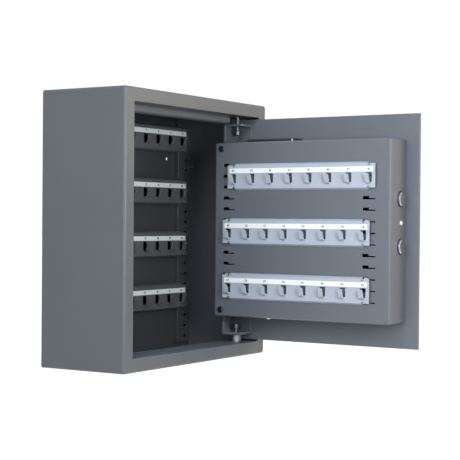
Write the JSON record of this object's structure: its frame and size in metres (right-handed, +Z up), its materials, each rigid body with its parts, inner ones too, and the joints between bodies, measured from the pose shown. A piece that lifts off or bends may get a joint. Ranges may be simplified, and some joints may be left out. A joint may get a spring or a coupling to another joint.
{
  "type": "keypad key cabinet",
  "caption": "Wall key cabinet in powder-coated steel, with a hinged door that carries a keypad lock, sliding bolts and rows of numbered key hooks inside.",
  "frame": {"origin": "centre of the four wall fixing holes, on the outer face of the back panel", "axes": "+X to the right as seen from the front, +Y into the wall, +Z up; the door is open 90 degrees"},
  "size_m": [0.3398, 0.377, 0.35],
  "materials": {
    "cabinet_paint": "satin graphite grey powder coat",
    "door_paint": "satin graphite grey powder coat",
    "cabinet_rail_paint": "satin dark graphite powder coat",
    "door_rail_paint": "satin silver grey powder coat",
    "label": "matt printed film",
    "zinc_steel": "bright zinc plating",
    "bright_steel": "turned",
    "black_steel": "black oxide",
    "chrome": "polished",
    "brass": "turned",
    "black_plastic": "fine grained",
    "key_plastic": "fine grained, grey",
    "board": "coated circuit board",
    "cell_jacket": "plain wrapped cell"
  },
  "bodies": {
    "cabinet": {"body_shell": "cabinet_paint", "back_panel": "cabinet_paint", "guard_channel": "cabinet_paint", "upright_left": "cabinet_paint", "upright_right": "cabinet_paint", "side_rivets": "zinc_steel", "hinge_pin_top": "bright_steel", "hinge_pin_bottom": "bright_steel", "hinge_bush": "zinc_steel", "hinge_nuts": "zinc_steel", "cabinet_key_rail_1": "cabinet_rail_paint", "cabinet_key_rail_2": "cabinet_rail_paint", "cabinet_key_rail_3": "cabinet_rail_paint", "cabinet_key_rail_4": "cabinet_rail_paint", "cabinet_label_strips": "label"},
    "door": {"door_plate": "door_paint", "hinge_bracket_top": "door_paint", "hinge_bracket_bottom": "door_paint", "lock_cover": "door_paint", "cover_screws": "black_steel", "cover_posts": "zinc_steel", "cover_side_screws": "zinc_steel", "cover_tab": "zinc_steel", "bolt_chassis": "zinc_steel", "magnet_body": "black_steel", "handle_rose": "black_plastic", "keypad_housing": "black_plastic", "housing_screws": "zinc_steel", "keypad_board": "board", "override_barrel": "chrome", "battery_holder": "black_plastic", "door_key_rail_1": "door_rail_paint", "door_key_rail_2": "door_rail_paint", "door_key_rail_3": "door_rail_paint", "door_label_strips": "label"},
    "boltwork": {"bolt_bar": "zinc_steel", "drive_plate": "zinc_steel", "locking_bolt_upper": "chrome", "locking_bolt_lower": "chrome", "bolt_screws": "zinc_steel"},
    "plunger": {"blocking_plunger": "bright_steel"},
    "handle": {"handle_knob": "black_plastic", "handle_spindle": "zinc_steel", "crank": "zinc_steel"},
    "override_plug": {"override_plug": "brass"},
    "override_cap": {"override_cap": "chrome"},
    "battery_drawer": {"battery_drawer": "black_plastic", "battery_cells": "cell_jacket"},
    "key_1": {"key_1": "key_plastic"},
    "key_2": {"key_2": "key_plastic"},
    "key_3": {"key_3": "key_plastic"},
    "key_4": {"key_4": "key_plastic"},
    "key_5": {"key_5": "key_plastic"},
    "key_6": {"key_6": "key_plastic"},
    "key_7": {"key_7": "key_plastic"},
    "key_8": {"key_8": "key_plastic"},
    "key_9": {"key_9": "key_plastic"},
    "key_clear": {"key_clear": "key_plastic"},
    "key_0": {"key_0": "key_plastic"},
    "key_enter": {"key_enter": "key_plastic"}
  },
  "joints": [
    {"name": "door_hinge", "type": "hinge", "parent": "cabinet", "child": "door", "pos_m": [0.1245, -0.108, 0], "axis": [0, 0, 1], "range_deg": [-90, 0]},
    {"name": "handle_turn", "type": "hinge", "parent": "door", "child": "handle", "pos_m": [0.1565, -0.2925, 0.011], "axis": [1, 0, 0], "range_deg": [0, 90]},
    {"name": "bolt_slide", "type": "slide", "parent": "door", "child": "boltwork", "axis": [0, -1, 0], "range_m": [0, 0.02]},
    {"name": "plunger_slide", "type": "slide", "parent": "door", "child": "plunger", "axis": [0, 0, -1], "range_m": [0, 0.0045]},
    {"name": "override_turn", "type": "hinge", "parent": "door", "child": "override_plug", "pos_m": [0.1565, -0.1875, -0.035], "axis": [1, 0, 0], "range_deg": [0, 90]},
    {"name": "override_cap_swing", "type": "hinge", "parent": "door", "child": "override_cap", "pos_m": [0.1675, -0.1875, -0.019], "axis": [1, 0, 0], "range_deg": [0, 90]},
    {"name": "battery_drawer_slide", "type": "slide", "parent": "door", "child": "battery_drawer", "axis": [0, 0, 1], "range_m": [0, 0.058]},
    {"name": "key_1_press", "type": "slide", "parent": "door", "child": "key_1", "axis": [-1, 0, 0], "range_m": [0, 0.0012], "stiffness_N_per_m": 600},
    {"name": "key_2_press", "type": "slide", "parent": "door", "child": "key_2", "axis": [-1, 0, 0], "range_m": [0, 0.0012], "stiffness_N_per_m": 600},
    {"name": "key_3_press", "type": "slide", "parent": "door", "child": "key_3", "axis": [-1, 0, 0], "range_m": [0, 0.0012], "stiffness_N_per_m": 600},
    {"name": "key_4_press", "type": "slide", "parent": "door", "child": "key_4", "axis": [-1, 0, 0], "range_m": [0, 0.0012], "stiffness_N_per_m": 600},
    {"name": "key_5_press", "type": "slide", "parent": "door", "child": "key_5", "axis": [-1, 0, 0], "range_m": [0, 0.0012], "stiffness_N_per_m": 600},
    {"name": "key_6_press", "type": "slide", "parent": "door", "child": "key_6", "axis": [-1, 0, 0], "range_m": [0, 0.0012], "stiffness_N_per_m": 600},
    {"name": "key_7_press", "type": "slide", "parent": "door", "child": "key_7", "axis": [-1, 0, 0], "range_m": [0, 0.0012], "stiffness_N_per_m": 600},
    {"name": "key_8_press", "type": "slide", "parent": "door", "child": "key_8", "axis": [-1, 0, 0], "range_m": [0, 0.0012], "stiffness_N_per_m": 600},
    {"name": "key_9_press", "type": "slide", "parent": "door", "child": "key_9", "axis": [-1, 0, 0], "range_m": [0, 0.0012], "stiffness_N_per_m": 600},
    {"name": "key_clear_press", "type": "slide", "parent": "door", "child": "key_clear", "axis": [-1, 0, 0], "range_m": [0, 0.0012], "stiffness_N_per_m": 600},
    {"name": "key_0_press", "type": "slide", "parent": "door", "child": "key_0", "axis": [-1, 0, 0], "range_m": [0, 0.0012], "stiffness_N_per_m": 600},
    {"name": "key_enter_press", "type": "slide", "parent": "door", "child": "key_enter", "axis": [-1, 0, 0], "range_m": [0, 0.0012], "stiffness_N_per_m": 600}
  ],
  "couplings": [
    {"joint": "handle_turn", "follows": "bolt_slide", "rad_per_m": 78.539}
  ]
}
